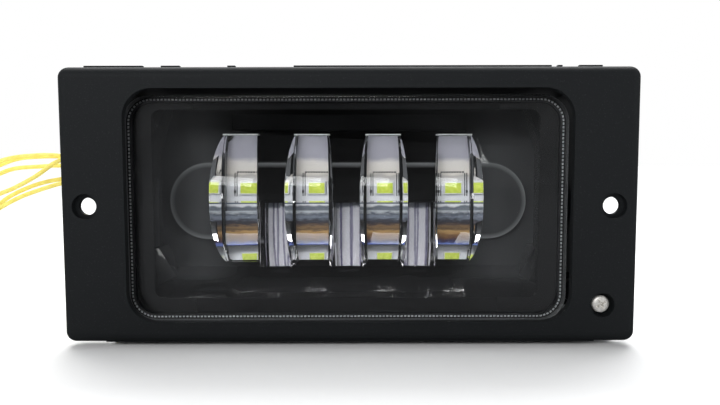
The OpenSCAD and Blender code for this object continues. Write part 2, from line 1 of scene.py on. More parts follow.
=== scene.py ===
"""Looks of the rectangular LED fog light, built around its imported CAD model.

Every object is in metres in the CAD model's own frame: +X right, +Y back into the lamp, +Z up.
"""
import math

import bmesh
import bpy
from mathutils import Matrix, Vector


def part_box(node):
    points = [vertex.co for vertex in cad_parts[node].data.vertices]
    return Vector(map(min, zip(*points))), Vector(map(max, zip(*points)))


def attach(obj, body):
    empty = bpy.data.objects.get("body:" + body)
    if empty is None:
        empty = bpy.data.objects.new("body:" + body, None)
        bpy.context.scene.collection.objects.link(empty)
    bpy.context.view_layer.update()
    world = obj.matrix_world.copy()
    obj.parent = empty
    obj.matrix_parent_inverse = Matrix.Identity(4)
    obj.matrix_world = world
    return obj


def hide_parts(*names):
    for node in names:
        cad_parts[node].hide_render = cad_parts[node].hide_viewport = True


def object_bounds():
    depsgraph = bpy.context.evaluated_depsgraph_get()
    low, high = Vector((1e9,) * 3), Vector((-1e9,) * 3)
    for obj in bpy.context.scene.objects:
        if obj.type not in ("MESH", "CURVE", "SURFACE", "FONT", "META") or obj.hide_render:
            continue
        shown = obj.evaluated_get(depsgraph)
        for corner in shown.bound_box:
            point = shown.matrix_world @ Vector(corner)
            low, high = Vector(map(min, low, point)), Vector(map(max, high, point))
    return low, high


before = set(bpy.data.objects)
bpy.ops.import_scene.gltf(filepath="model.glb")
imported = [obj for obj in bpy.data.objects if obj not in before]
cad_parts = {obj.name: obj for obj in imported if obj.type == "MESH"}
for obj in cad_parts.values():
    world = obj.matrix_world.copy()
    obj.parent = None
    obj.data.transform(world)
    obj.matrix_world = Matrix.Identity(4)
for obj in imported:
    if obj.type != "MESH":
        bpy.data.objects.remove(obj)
cad_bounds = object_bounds()

# The front of the face, and the height of its lower edge above the floor
FACE_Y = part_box("front_frame")[0].y
REST_GAP = 0.0016

# The raised capsule of the mask, as it is in the CAD model
CAPSULE_Z = 0.0446 + REST_GAP
CAPSULE_R = 0.0137
CAPSULE_STRAIGHT = 0.0508


# ---------------------------------------------------------------- camera, floor and lights

def add_camera():
    """The photograph's view: a little above the lamp's middle, looking slightly down."""
    data = bpy.data.cameras.new("camera")
    data.sensor_width = 36
    data.lens = 28.25
    data.clip_start = 0.01
    camera = bpy.data.objects.new("camera", data)
    camera.location = (0.0034, FACE_Y - 0.1802, 0.0575 + REST_GAP)
    camera.rotation_euler = (math.radians(90 - 3.7), math.radians(0.1), 0)
    bpy.context.scene.collection.objects.link(camera)
    bpy.context.scene.camera = camera


def add_area_light(name, place, target, size, power):
    """A soft box that faces the target."""
    data = bpy.data.lights.new(name, "AREA")
    data.shape = "RECTANGLE"
    data.size, data.size_y = size
    data.energy = power
    light = bpy.data.objects.new(name, data)
    light.location = place
    light.rotation_euler = (Vector(target) - Vector(place)).to_track_quat("-Z", "Y").to_euler()
    bpy.context.scene.collection.objects.link(light)


def add_overhead_sun():
    data = bpy.data.lights.new("overhead", "SUN")
    data.energy = 2.8
    data.angle = math.radians(70)
    light = bpy.data.objects.new("overhead", data)
    light.location = (0, 0, 1)
    light.rotation_euler = (math.radians(-30), 0, 0)
    bpy.context.scene.collection.objects.link(light)


def add_world():
    """A white background. Its light is dimmer from the front, and dark in the middle of the front."""
    world = bpy.data.worlds.new("studio")
    world.use_nodes = True
    nodes, links = world.node_tree.nodes, world.node_tree.links
    seen = nodes["Background"]
    seen.inputs["Color"].default_value = (1, 1, 1, 1)
    seen.inputs["Strength"].default_value = 1.0
    lit = nodes.new("ShaderNodeBackground")
    lit.inputs["Color"].default_value = (0.94, 0.97, 1, 1)
    direction = nodes.new("ShaderNodeTexCoord").outputs["Generated"]
    split = nodes.new("ShaderNodeSeparateXYZ")
    links.new(direction, split.inputs["Vector"])
    off_middle = nodes.new("ShaderNodeVectorMath")
    off_middle.operation = "DISTANCE"
    links.new(direction, off_middle.inputs[0])
    off_middle.inputs[1].default_value = (-0.03, -1, 0.02)
    levels = []
    for value, span, strength in ((off_middle.outputs["Value"], (0.2, 0.3), (0.008, 0.13)),
                                  (split.outputs["Y"], (-0.8, 0.4), (0.0, 0.6))):
        level = nodes.new("ShaderNodeMapRange")
        level.inputs["From Min"].default_value, level.inputs["From Max"].default_value = span
        level.inputs["To Min"].default_value, level.inputs["To Max"].default_value = strength
        links.new(value, level.inputs["Value"])
        levels.append(level.outputs["Result"])
    stronger = nodes.new("ShaderNodeMath")
    stronger.operation = "MAXIMUM"
    links.new(levels[0], stronger.inputs[0])
    links.new(levels[1], stronger.inputs[1])
    links.new(stronger.outputs[0], lit.inputs["Strength"])
    path = nodes.new("ShaderNodeLightPath")
    mix = nodes.new("ShaderNodeMixShader")
    links.new(path.outputs["Is Camera Ray"], mix.inputs["Fac"])
    links.new(lit.outputs["Background"], mix.inputs[1])
    links.new(seen.outputs["Background"], mix.inputs[2])
    links.new(mix.outputs["Shader"], nodes["World Output"].inputs["Surface"])
    bpy.context.scene.world = world


def add_floor():
    half = 30
    mesh = bpy.data.meshes.new("floor")
    corners = [(-half, -half, 0), (half, -half, 0), (half, half, 0), (-half, half, 0)]
    mesh.from_pydata(corners, [], [(0, 1, 2, 3)])
    floor = bpy.data.objects.new("floor", mesh)
    floor.location.z = cad_bounds[0][2] - 0.0001
    bpy.context.scene.collection.objects.link(floor)
    look = Look("floor_white", color=(0.93, 0.93, 0.93), rough=0.6)
    look.vary("Roughness", look.noise(20), 0.55, 0.7)
    look.dim_when_mirrored((0.07, 0.072, 0.075))
    mesh.materials.append(look.mat)


# ---------------------------------------------------------------- materials

SOCKETS = {
    "color": "Base Color", "rough": "Roughness", "metal": "Metallic", "ior": "IOR",
    "specular": "Specular IOR Level", "through": "Transmission Weight", "scatter": "Subsurface Weight",
}


class Look:
    """A material being made: its nodes, worked out in metres on the piece itself."""

    def __init__(self, name, **values):
        self.mat = bpy.data.materials.new(name)
        self.mat.use_nodes = True
        self.tree = self.mat.node_tree
        self.bsdf = self.tree.nodes["Principled BSDF"]
        self.place = self.tree.nodes.new("ShaderNodeTexCoord").outputs["Object"]
        for key, value in values.items():
            if key == "color":
                value = (*value, 1)
            self.bsdf.inputs[SOCKETS[key]].default_value = value

    def node(self, kind, inputs=(), **settings):
        made = self.tree.nodes.new("ShaderNode" + kind)
        for key, value in settings.items():
            setattr(made, key, value)
        for key, value in dict(inputs).items():
            if isinstance(value, bpy.types.NodeSocket):
                self.tree.links.new(value, made.inputs[key])
            else:
                made.inputs[key].default_value = value
        return made

    def stretched(self, x, y, z):
        return self.node("Mapping", {"Vector": self.place, "Scale": (x, y, z)}).outputs[0]

    def noise(self, scale, detail=3, rough=0.5, place=None):
        inputs = {"Vector": place or self.place, "Scale": scale, "Detail": detail, "Roughness": rough}
        return self.node("TexNoise", inputs).outputs["Fac"]

    def ramp(self, value, stops):
        made = self.node("ValToRGB", {"Fac": value})
        elements = made.color_ramp.elements
        for element, (place, color) in zip(elements, stops):
            element.position, element.color = place, (*color, 1)
        for place, color in stops[2:]:
            elements.new(place).color = (*color, 1)
        return made.outputs["Color"]

    def paint(self, value, stops):
        self.tree.links.new(self.ramp(value, stops), self.bsdf.inputs["Base Color"])

    def vary(self, socket, value, low, high):
        made = self.node("MapRange", {"Value": value, "To Min": low, "To Max": high})
        self.tree.links.new(made.outputs["Result"], self.bsdf.inputs[socket])

    def bump(self, height, depth):
        made = self.node("Bump", {"Height": height, "Distance": depth, "Strength": 1.0})
        self.tree.links.new(made.outputs["Normal"], self.bsdf.inputs["Normal"])

    def height(self, low, high):
        """0 at the height low and 1 at high, with straight steps between."""
        level = self.node("SeparateXYZ", {"Vector": self.place}).outputs["Z"]
        return self.steps(level, low, high)

    def steps(self, value, low, high):
        """0 where the value is low and 1 where it is high."""
        return self.node("MapRange", {"Value": value, "From Min": low, "From Max": high}).outputs["Result"]

    def math(self, operation, a, b=0.0):
        return self.node("Math", {0: a, 1: b}, operation=operation).outputs[0]

    def blend(self, share, first, second):
        """A colour between two, each given as a colour or as a socket."""
        first, second = (c if isinstance(c, bpy.types.NodeSocket) else (*c, 1) for c in (first, second))
        return self.node("Mix", {0: share, 6: first, 7: second}, data_type="RGBA").outputs[2]

    def blur(self, value, size):
        """A noise moved to lie round 0."""
        return self.math("MULTIPLY", self.math("SUBTRACT", value, 0.5), size)

    def dim_when_mirrored(self, color):
        """A glossy surface mirrors this in a darker tone, as it would mirror a dark room."""
        dark = self.node("BsdfDiffuse", {"Color": (*color, 1)})
        path = self.node("LightPath")
        mix = self.node("MixShader", {0: path.outputs["Is Glossy Ray"]})
        self.tree.links.new(self.bsdf.outputs["BSDF"], mix.inputs[1])
        self.tree.links.new(dark.outputs["BSDF"], mix.inputs[2])
        self.tree.links.new(mix.outputs["Shader"], self.tree.nodes["Material Output"].inputs["Surface"])

    def let_light_in(self, tint=(1, 1, 1)):
        """Shadow rays pass straight through, so what is behind the glass is lit."""
        clear = self.node("BsdfTransparent", {"Color": (*tint, 1)})
        path = self.node("LightPath")
        mix = self.node("MixShader", {0: path.outputs["Is Shadow Ray"]})
        self.tree.links.new(self.bsdf.outputs["BSDF"], mix.inputs[1])
        self.tree.links.new(clear.outputs["BSDF"], mix.inputs[2])
        self.tree.links.new(mix.outputs["Shader"], self.tree.nodes["Material Output"].inputs["Surface"])


def moulded_plastic(name, dark, light, rough, grain=0.00022, depth=0.00003, specular=0.35):
    """Spark-textured plastic: a fine grain, faint cloudiness and a few pale specks."""
    look = Look(name, color=dark, specular=specular)
    specks = look.noise(2600, 2)
    look.paint(specks, [(0.0, dark), (0.62, dark), (0.76, light)])
    look.vary("Roughness", look.noise(90, 4), rough - 0.06, rough + 0.08)
    look.bump(look.noise(1 / grain, 3, 0.6), depth)
    return look.mat


def capsule_reach(look, x, z):
    """How far a place is from the capsule's middle line, with 1 on its edge."""
    past = look.math("MAXIMUM", look.math("SUBTRACT", x, CAPSULE_STRAIGHT), 0.0)
    squares = look.math("ADD", look.math("MULTIPLY", past, past), look.math("MULTIPLY", z, z))
    return look.math("DIVIDE", look.math("SQRT", squares), CAPSULE_R)


def mask_plastic(name, plain, deep, end, painted_highlight_rim):
    """Gloss black, deeper between the lenses and paler towards the ends as painted shade and light, with a
    painted highlight round the raised capsule.
    """
    look = Look(name, specular=0.5)
    low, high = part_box("inner_mask")
    place = look.node("SeparateXYZ", {"Vector": look.place}).outputs
    sideways = look.math("ABSOLUTE", look.math("SUBTRACT", place["X"], (low.x + high.x) / 2))
    outward = look.steps(sideways, 0.036, 0.053)
    # Painted shade between the lenses and painted light towards the ends.
    shade = look.blend(look.math("ADD", outward, look.blur(look.noise(45, 3), 0.5)), deep, end)
    reach = capsule_reach(look, sideways, look.math("SUBTRACT", place["Z"], CAPSULE_Z))
    black, pale, white = (0, 0, 0), (0.15, 0.15, 0.15), (1, 1, 1)
    # A painted highlight line round the edge of the raised capsule.
    edge = look.ramp(look.math("MULTIPLY", reach, 0.8),
                     [(0.69, black), (0.785, white), (0.805, pale), (0.83, black)])
    inside = look.steps(place["Y"], FACE_Y + 0.016, FACE_Y + 0.024)
    color = look.blend(inside, plain, look.blend(edge, shade, painted_highlight_rim))
    look.tree.links.new(color, look.bsdf.inputs["Base Color"])
    look.vary("Specular IOR Level", outward, 0.05, 0.5)
    look.vary("Roughness", look.noise(300, 4), 0.04, 0.1)
    look.bump(look.noise(180, 2), 0.0000008)
    return look.mat


def clear_plastic(name, tint, ior=1.49, rough=0.01, wave=0.0000015):
    """Clear moulded plastic or glass, with a faint waviness and haze."""
    look = Look(name, color=tint, ior=ior, through=1.0, rough=rough)
    look.vary("Roughness", look.noise(400, 5, 0.7), rough * 0.4, rough * 1.8)
    look.bump(look.noise(120, 2), wave)
    look.let_light_in(tint)
    return look.mat


def frosted_plastic(name, dark, light):
    """Ground glass: a fine milky grain."""
    look = Look(name, color=light, ior=1.49, specular=0.5)
    look.paint(look.noise(1700, 3), [(0.35, dark), (0.7, light)])
    look.vary("Roughness", look.noise(3000, 3), 0.25, 0.5)
    look.bump(look.noise(2500, 2), 0.00002)
    return look.mat


def fluted_plastic(name, tint, line):
    """Clear plastic with painted shade: thin dark upright lines that stand for the light its flutes bend
    away.
    """
    look = Look(name, ior=1.49, through=1.0, rough=0.03)
    place = look.stretched(1, 1, 0.03)
    # Painted shade: dark upright lines where the flute edges bend light away.
    lines = look.node("TexWave", {"Vector": place, "Scale": 95.0, "Distortion": 0.7, "Detail": 2.0,
                                  "Detail Scale": 60.0}, bands_direction="X")
    look.paint(lines.outputs["Fac"], [(0.04, line), (0.16, tint)])
    look.vary("Roughness", look.noise(400, 5, 0.7), 0.02, 0.07)
    look.bump(look.noise(120, 2), 0.00001)
    look.let_light_in(tint)
    return look.mat


def cast_metal(name, dark, light, rough=0.38):
    """Die-cast aluminium: a fine sandy skin with flow marks."""
    look = Look(name, color=light, metal=1.0)
    flow = look.noise(1, 4, 0.6, look.stretched(60, 60, 14))
    look.paint(flow, [(0.3, dark), (0.7, light)])
    look.vary("Roughness", look.noise(700, 4), rough - 0.08, rough + 0.14)
    look.bump(look.noise(2200, 3), 0.00004)
    return look.mat


def turned_metal(name, color, rough=0.24, stretch=(3000, 60, 3000), metal=1.0):
    """Plated steel with fine tool marks."""
    look = Look(name, color=color, metal=metal)
    marks = look.noise(1, 3, 0.6, look.stretched(*stretch))
    look.paint(marks, [(0.25, tuple(c * 0.72 for c in color)), (0.7, color)])
    look.vary("Roughness", look.noise(900, 3), rough - 0.08, rough + 0.1)
    look.bump(marks, 0.00001)
    return look.mat


def rubber(name, dark, light):
    """Dull rubber with a cloudy tone."""
    look = Look(name, color=dark, specular=0.3)
    look.paint(look.noise(260, 4), [(0.35, dark), (0.75, light)])
    look.vary("Roughness", look.noise(500, 3), 0.62, 0.82)
    look.bump(look.noise(1800, 3), 0.00003)
    return look.mat


def wire_insulation(name, shade, bright):
    """Smooth PVC that lets a little light in."""
    look = Look(name, color=bright, specular=0.5, scatter=0.08)
    look.paint(look.noise(300, 4), [(0.3, shade), (0.65, bright)])
    look.vary("Roughness", look.noise(700, 3), 0.26, 0.42)
    look.bump(look.noise(900, 2), 0.00003)
    return look.mat


def printed_board(name, mask, track):
    """Solder mask over copper tracks that stand out a little."""
    look = Look(name, color=mask, specular=0.5)
    grid = look.node("TexBrick", {"Vector": look.place, "Scale": 90.0, "Mortar Size": 0.04,
                                  "Brick Width": 0.7, "Row Height": 0.35})
    look.paint(grid.outputs["Fac"], [(0.0, mask), (1.0, track)])
    look.vary("Roughness", look.noise(1200, 3), 0.28, 0.45)
    look.bump(grid.outputs["Fac"], 0.00003)
    return look.mat


def white_board(name):
    """White solder mask with painted shade that turns it lilac grey away from the LEDs, painted lighter and
    darker bands between, and faint scuffs.
    """
    look = Look(name, specular=0.4)
    place = look.math("ADD", look.height(0.0236, 0.0686), look.blur(look.noise(260, 3), 0.05))
    # By height: the board's own white below and round the LEDs, a dark band just above the bronze strips, a
    # painted lighter band above the LEDs, and painted shade higher up.
    look.paint(place, [
        (0.0, (0.9, 0.9, 0.93)), (0.42, (0.9, 0.92, 0.95)),
        (0.435, (0.2, 0.22, 0.25)), (0.468, (0.12, 0.14, 0.17)),
        (0.48, (0.72, 0.73, 0.75)), (0.58, (0.86, 0.87, 0.9)),
        (0.645, (0.5, 0.47, 0.44)), (0.66, (0.78, 0.73, 0.66)), (0.72, (0.8, 0.76, 0.72)),
        (0.75, (0.44, 0.43, 0.49)), (0.92, (0.42, 0.42, 0.47)),
    ])
    look.vary("Roughness", look.noise(900, 3), 0.3, 0.46)
    look.bump(look.noise(500, 2), 0.00002)
    return look.mat


def phosphor(name):
    """The grainy yellow-green resin of an unlit LED."""
    look = Look(name, color=(0.72, 0.82, 0.1), specular=0.4)
    look.paint(look.noise(1400, 4), [(0.3, (0.5, 0.66, 0.03)), (0.7, (0.82, 0.9, 0.16))])
    look.vary("Roughness", look.noise(2500, 3), 0.35, 0.55)
    look.bump(look.noise(5000, 3), 0.00003)
    return look.mat


def gold_streaks(name):
    """Bronze film with fine upright streaks, and painted reflections and shade whose tone runs from navy
    through gold to steel grey by height.
    """
    look = Look(name, metal=0.25, specular=0.25)
    low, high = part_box("streak_reflectors")
    streaks = look.noise(1, 5, 0.7, look.stretched(420, 1, 1500))
    place = look.math("ADD", look.height(low.z, high.z), look.blur(streaks, 0.34))
    # Painted reflections and shade in bands by height, over the film's own bronze tone.
    look.paint(place, [
        (0.0, (0.14, 0.2, 0.5)), (0.09, (0.02, 0.018, 0.07)),
        (0.2, (0.09, 0.04, 0.02)), (0.3, (0.16, 0.08, 0.025)), (0.4, (0.36, 0.22, 0.08)),
        (0.47, (0.08, 0.045, 0.02)), (0.54, (0.17, 0.1, 0.04)), (0.63, (0.03, 0.022, 0.025)),
        (0.72, (0.025, 0.028, 0.04)), (0.82, (0.15, 0.17, 0.21)), (0.9, (0.06, 0.07, 0.09)),
        (0.97, (0.36, 0.38, 0.4)),
    ])
    look.vary("Roughness", streaks, 0.42, 0.6)
    look.bump(streaks, 0.00006)
    return look.mat


def stranded_copper(name):
    """Copper that is tinned in places."""
    look = Look(name, color=(0.72, 0.68, 0.62), metal=1.0)
    look.paint(look.noise(1500, 3), [(0.3, (0.55, 0.42, 0.3)), (0.6, (0.78, 0.76, 0.73))])
    look.vary("Roughness", look.noise(2500, 2), 0.25, 0.45)
    look.bump(look.noise(3000, 2), 0.00002)
    return look.mat


def component(name, dark, light, rough=0.4):
    """A small moulded part of two close tones."""
    look = Look(name, color=dark)
    look.paint(look.noise(600, 3), [(0.35, dark), (0.7, light)])
    look.vary("Roughness", look.noise(1200, 3), rough - 0.08, rough + 0.1)
    look.bump(look.noise(2000, 2), 0.00002)
    return look.mat


def make_looks():
    return {
        "frame": moulded_plastic("black_grained_plastic", (0.0105, 0.0117, 0.0127), (0.025, 0.026, 0.028),
                                 0.5, specular=0.06),
        "housing": moulded_plastic("housing_plastic", (0.013, 0.013, 0.015), (0.03, 0.03, 0.032),
                                   0.42, 0.0004),
        # Mask colours: plain front, painted shade between the lenses, painted light at the ends, painted
        # highlight round the capsule.
        "mask": mask_plastic("mask_gloss_black", (0.012, 0.012, 0.0125), (0.003, 0.0028, 0.0028),
                             (0.042, 0.043, 0.045), (0.14, 0.143, 0.147)),
        "glass": clear_plastic("front_glass_clear", (0.97, 0.98, 0.98), 1.5, 0.004, 0.0000008),
        "knurl": frosted_plastic("frosted_edge", (0.18, 0.19, 0.2), (0.5, 0.52, 0.54)),
        "ground": frosted_plastic("ground_edge", (0.03, 0.031, 0.033), (0.07, 0.072, 0.075)),
        "flange": frosted_plastic("lens_flange", (0.6, 0.62, 0.62), (0.9, 0.92, 0.9)),
        "lens": clear_plastic("lens_clear", (0.98, 0.98, 0.99)),
        # The second colour is the painted shade of the flute lines.
        "infill": fluted_plastic("infill_clear", (0.86, 0.85, 0.86), (0.16, 0.15, 0.24)),
        "gold": gold_streaks("bronze_streaks"),
        "board": white_board("white_solder_mask"),
        "phosphor": phosphor("led_phosphor"),
        "package": component("led_package", (0.72, 0.73, 0.72), (0.85, 0.86, 0.86), 0.45),
        "zinc": turned_metal("zinc_plated", (0.62, 0.62, 0.6)),
        "nickel": turned_metal("nickel_plated", (0.86, 0.84, 0.8), 0.42, (900, 900, 900), 0.45),
        "pad": component("thermal_pad_grey", (0.3, 0.33, 0.38), (0.4, 0.43, 0.48), 0.75),
        "nut": component("black_nylon_nut", (0.01, 0.01, 0.01), (0.022, 0.022, 0.022), 0.45),
        "spreader": turned_metal("extruded_aluminium", (0.75, 0.76, 0.77), 0.3, (40, 3000, 3000)),
        "cast": cast_metal("cast_aluminium", (0.4, 0.41, 0.42), (0.6, 0.61, 0.62)),
        "green": printed_board("green_solder_mask", (0.01, 0.13, 0.05), (0.03, 0.25, 0.09)),
        "ferrite": component("ferrite", (0.03, 0.03, 0.033), (0.07, 0.07, 0.07), 0.5),
        "can": turned_metal("capacitor_can", (0.68, 0.69, 0.7), 0.25, (60, 3000, 60)),
        "chip": component("epoxy_black", (0.01, 0.01, 0.01), (0.03, 0.03, 0.03), 0.5),
        "red": wire_insulation("red_insulation", (0.4, 0.01, 0.01), (0.62, 0.03, 0.02)),
        "rubber": rubber("black_rubber", (0.012, 0.012, 0.013), (0.028, 0.028, 0.03)),
        "yellow": wire_insulation("yellow_insulation", (0.8, 0.65, 0.12), (0.9, 0.78, 0.19)),
        "copper": stranded_copper("tinned_strands"),
        "nylon": component("white_nylon", (0.66, 0.64, 0.56), (0.8, 0.78, 0.71), 0.4),
        "tie": moulded_plastic("black_nylon", (0.012, 0.012, 0.013), (0.03, 0.03, 0.03), 0.38, 0.0006),
    }


# ---------------------------------------------------------------- mesh helpers

# The corners of a square, in order
SQUARE = ((-1, -1), (1, -1), (1, 1), (-1, 1))


def outline(w, h, r, x=0.0, z=0.0, steps=10):
    """Points round a rounded rectangle across Y."""
    points = []
    for turn, (side, up) in enumerate(((1, -1), (1, 1), (-1, 1), (-1, -1))):
        for k in range(steps + 1):
            a = math.radians(90 * (turn - 1) + 90 * k / steps)
            points.append((x + side * (w / 2 - r) + r * math.cos(a), z + up * (h / 2 - r) + r * math.sin(a)))
    return points


def loft(name, rings, loop=False):
    """A skin over rings of equally many points, with its ends closed unless it is a loop."""
    count = len(rings[0])
    faces = []
    for i in range(len(rings) if loop else len(rings) - 1):
        j = (i + 1) % len(rings)
        for k in range(count):
            m = (k + 1) % count
            faces.append((i * count + k, i * count + m, j * count + m, j * count + k))
    if not loop:
        faces.append(tuple(range(count)))
        faces.append(tuple(range((len(rings) - 1) * count, len(rings) * count)))
    mesh = bpy.data.meshes.new(name)
    mesh.from_pydata([tuple(p) for ring in rings for p in ring], [], faces)
    return mesh


def lathe(name, profile, center, axis, steps=48):
    """Turns (distance along the axis, radius) points about an axis through center."""
    turn = Vector((0, 0, 1)).rotation_difference(Vector(axis))
    rings = []
    for along, radius in profile:
        ring = []
        for k in range(steps):
            a = 2 * math.pi * k / steps
            ring.append(Vector(center) + turn @ Vector((radius * math.cos(a), radius * math.sin(a), along)))
        rings.append(ring)
    return loft(name, rings)


def box_mesh(name, low, high, bevel=0.0, segments=2):
    """A block with rounded edges."""
    bm = bmesh.new()
    bmesh.ops.create_cube(bm, size=1)
    size = Vector(high) - Vector(low)
    bmesh.ops.scale(bm, vec=size, verts=bm.verts)
    bmesh.ops.translate(bm, vec=(Vector(high) + Vector(low)) / 2, verts=bm.verts)
    if bevel:
        bmesh.ops.bevel(bm, geom=bm.edges[:], offset=bevel, segments=segments, profile=0.5, affect="EDGES")
    mesh = bpy.data.meshes.new(name)
    bm.to_mesh(mesh)
    bm.free()
    return mesh


def joined(name, meshes):
    bm = bmesh.new()
    for mesh in meshes:
        bm.from_mesh(mesh)
    made = bpy.data.meshes.new(name)
    bm.to_mesh(made)
    bm.free()
    return made


def add_piece(name, mesh, body, look, sharp=35, stands_for=()):
    """Puts a mesh on its body, with clean normals and sharp edges kept sharp."""
    bm = bmesh.new()
    bm.from_mesh(mesh)
    bmesh.ops.recalc_face_normals(bm, faces=bm.faces)
    bm.to_mesh(mesh)
    bm.free()
    mesh.shade_smooth()
    mesh.set_sharp_from_angle(angle=math.radians(sharp))
    mesh.materials.clear()
    mesh.materials.append(look)
    piece = bpy.data.objects.new(name, mesh)
    bpy.context.scene.collection.objects.link(piece)
    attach(piece, body)
    if stands_for:
        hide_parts(*stands_for)
    return piece


def dress(node, look):
    """Gives a CAD node its material."""
    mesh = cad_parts[node].data
    for k in range(max(1, len(mesh.materials))):
        if k < len(mesh.materials):
            mesh.materials[k] = look
        else:
            mesh.materials.append(look)


def softened(name, node, body, look, width, segments=2):
    """A copy of a CAD node with its sharp edges rounded, which stands for it."""
    bm = bmesh.new()
    bm.from_mesh(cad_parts[node].data)
    bmesh.ops.remove_doubles(bm, verts=bm.verts, dist=0.000002)
    bmesh.ops.dissolve_limit(bm, angle_limit=math.radians(0.6), verts=bm.verts, edges=bm.edges)
    mesh = bpy.data.meshes.new(name)
    bm.to_mesh(mesh)
    bm.free()
    piece = add_piece(name, mesh, body, look, 35, (node,))
    bevel = piece.modifiers.new("edges", "BEVEL")
    bevel.width = width
    bevel.segments = segments
    bevel.limit_method = "ANGLE"
    bevel.angle_limit = math.radians(40)
    bevel.use_clamp_overlap = True
    bevel.harden_normals = True
    piece.data = bpy.data.meshes.new_from_object(piece.evaluated_get(bpy.context.evaluated_depsgraph_get()))
    piece.modifiers.clear()
    return piece


# ---------------------------------------------------------------- leads

# Each lead's route from the grommet to its end. Y is counted from the face and Z from its lower edge.
LEAD_1 = [
    (-0.0722, 0.045, 0.0537), (-0.077, 0.0454, 0.0545), (-0.082, 0.0463, 0.0556),
    (-0.087, 0.0461, 0.056), (-0.093, 0.046, 0.057), (-0.102, 0.046, 0.0594), (-0.113, 0.046, 0.0616),
    (-0.126, 0.046, 0.062), (-0.14, 0.046, 0.0598), (-0.156, 0.046, 0.0521), (-0.17, 0.046, 0.0391),
    (-0.178, 0.045, 0.0222), (-0.177, 0.044, 0.0066), (-0.169, 0.043, 0), (-0.161, 0.0422, 0.0029),
    (-0.156, 0.0416, 0.0138), (-0.151, 0.0416, 0.0278), (-0.143, 0.042, 0.038),
    (-0.133, 0.0426, 0.0444), (-0.123, 0.0433, 0.0484), (-0.113, 0.0445, 0.0514),
    (-0.102, 0.0456, 0.0536), (-0.093, 0.046, 0.0542), (-0.087, 0.0461, 0.0541),
    (-0.082, 0.0446, 0.0536), (-0.077, 0.0424, 0.0548), (-0.073, 0.0414, 0.0584),
    (-0.0698, 0.0445, 0.0613), (-0.0676, 0.05, 0.0619), (-0.0688, 0.0548, 0.0615),
    (-0.0724, 0.0574, 0.0607), (-0.077, 0.0558, 0.0593), (-0.0808, 0.052, 0.0581),
    (-0.084, 0.0491, 0.0568), (-0.087, 0.0482, 0.0561), (-0.09, 0.048, 0.0563),
    (-0.096, 0.0488, 0.0572), (-0.102, 0.0502, 0.0592), (-0.113, 0.0508, 0.0611),
    (-0.126, 0.0516, 0.0616), (-0.14, 0.0522, 0.0598), (-0.154, 0.0525, 0.052), (-0.165, 0.0525, 0.036),
    (-0.172, 0.052, 0.0165), (-0.178, 0.0515, 0.0034), (-0.184, 0.051, -0.0004),
    (-0.191, 0.0505, -0.0004),
]
LEAD_2 = [
    (-0.0722, 0.047, 0.0525), (-0.077, 0.0474, 0.0529), (-0.082, 0.0479, 0.0534),
    (-0.087, 0.0481, 0.0541), (-0.093, 0.0484, 0.0545), (-0.102, 0.0486, 0.0566),
    (-0.113, 0.0486, 0.0578), (-0.126, 0.0486, 0.0575), (-0.14, 0.0488, 0.0556),
    (-0.155, 0.049, 0.0465), (-0.166, 0.049, 0.031), (-0.171, 0.0485, 0.0143), (-0.168, 0.048, 0.003),
    (-0.16, 0.0475, 0), (-0.154, 0.047, 0.0064), (-0.1515, 0.047, 0.0192), (-0.148, 0.047, 0.034),
    (-0.141, 0.0471, 0.0432), (-0.129, 0.0468, 0.0494), (-0.117, 0.0474, 0.0524),
    (-0.102, 0.0493, 0.053), (-0.093, 0.05, 0.0534), (-0.087, 0.0501, 0.0541), (-0.082, 0.0515, 0.0531),
    (-0.076, 0.054, 0.0505), (-0.07, 0.057, 0.0485), (-0.0666, 0.0625, 0.0477),
    (-0.0686, 0.0683, 0.0483), (-0.0746, 0.0697, 0.0499), (-0.0792, 0.0616, 0.0526),
    (-0.0804, 0.056, 0.0544), (-0.0822, 0.0524, 0.0555), (-0.085, 0.0505, 0.0559),
    (-0.088, 0.0501, 0.0562), (-0.0915, 0.0498, 0.0575), (-0.095, 0.0483, 0.0599),
    (-0.101, 0.0452, 0.0621), (-0.108, 0.0426, 0.062), (-0.116, 0.0416, 0.059), (-0.123, 0.041, 0.054),
    (-0.131, 0.0401, 0.0494), (-0.141, 0.0391, 0.0446), (-0.149, 0.0385, 0.036),
    (-0.155, 0.038, 0.0214), (-0.159, 0.0375, 0.0066), (-0.165, 0.037, 0.0008),
    (-0.173, 0.0365, -0.0004), (-0.181, 0.036, -0.0005),
]
LEAD_WIDTH = 0.0017
BARE_LENGTH = 0.008
SMOOTH_STEPS = 8


def smooth(points, steps):
    """A smooth curve through the points, which stops at the first and the last."""
    path = []
    for i in range(len(points) - 1):
        a, b = points[max(i - 1, 0)], points[i]
        c, d = points[i + 1], points[min(i + 2, len(points) - 1)]
        for k in range(steps):
            t = k / steps
            path.append(0.5 * (2 * b + (c - a) * t + (2 * a - 5 * b + 4 * c - d) * t * t
                               + (3 * b - a - 3 * c + d) * t ** 3))
    return path + [points[-1]]


def route(points):
    return smooth([Vector((x, y + FACE_Y, z + REST_GAP)) for x, y, z in points], SMOOTH_STEPS)


def curve_piece(name, path, width, body, look):
    data = bpy.data.curves.new(name, "CURVE")
    data.dimensions = "3D"
    data.bevel_depth = width / 2
    data.bevel_resolution = 5
    data.use_fill_caps = True
    spline = data.splines.new("POLY")
    spline.points.add(len(path) - 1)
    for point, place in zip(spline.points, path):
        point.co = (*place, 1)
    spline.use_smooth = True
    data.materials.append(look)
    piece = bpy.data.objects.new(name, data)
    bpy.context.scene.collection.objects.link(piece)
    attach(piece, body)
    return piece


def run_length(path):
    return sum((b - a).length for a, b in zip(path, path[1:]))


